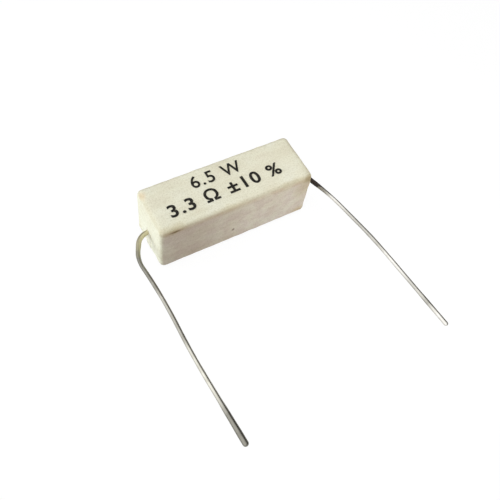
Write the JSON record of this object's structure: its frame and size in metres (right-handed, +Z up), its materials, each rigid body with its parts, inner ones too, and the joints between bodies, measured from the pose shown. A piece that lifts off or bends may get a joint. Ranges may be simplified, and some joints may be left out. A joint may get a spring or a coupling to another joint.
{
  "type": "axial wirewound power resistor",
  "caption": "Rectangular ceramic-cased power resistor, cement filled, with a bent round wire lead from the middle of each end for soldering into a circuit.",
  "frame": {"origin": "centre of the flat face that the case rests on", "axes": "+X along the case from the left lead's end to the right lead's end, +Z up through the printed face, leads running towards -Y"},
  "size_m": [0.0349, 0.0376, 0.0093],
  "materials": {
    "case_ceramic": "matt",
    "cement": "matt",
    "core_ceramic": "matt",
    "resistance_alloy": "satin",
    "cap_steel": "satin",
    "tinned_copper": "bright tin"
  },
  "bodies": {
    "root": {"ceramic_case": "case_ceramic", "cement_fill": "cement", "core_rod": "core_ceramic", "resistance_wire": "resistance_alloy", "left_cap": "cap_steel", "right_cap": "cap_steel", "left_lead": "tinned_copper", "right_lead": "tinned_copper"}
  },
  "joints": []
}
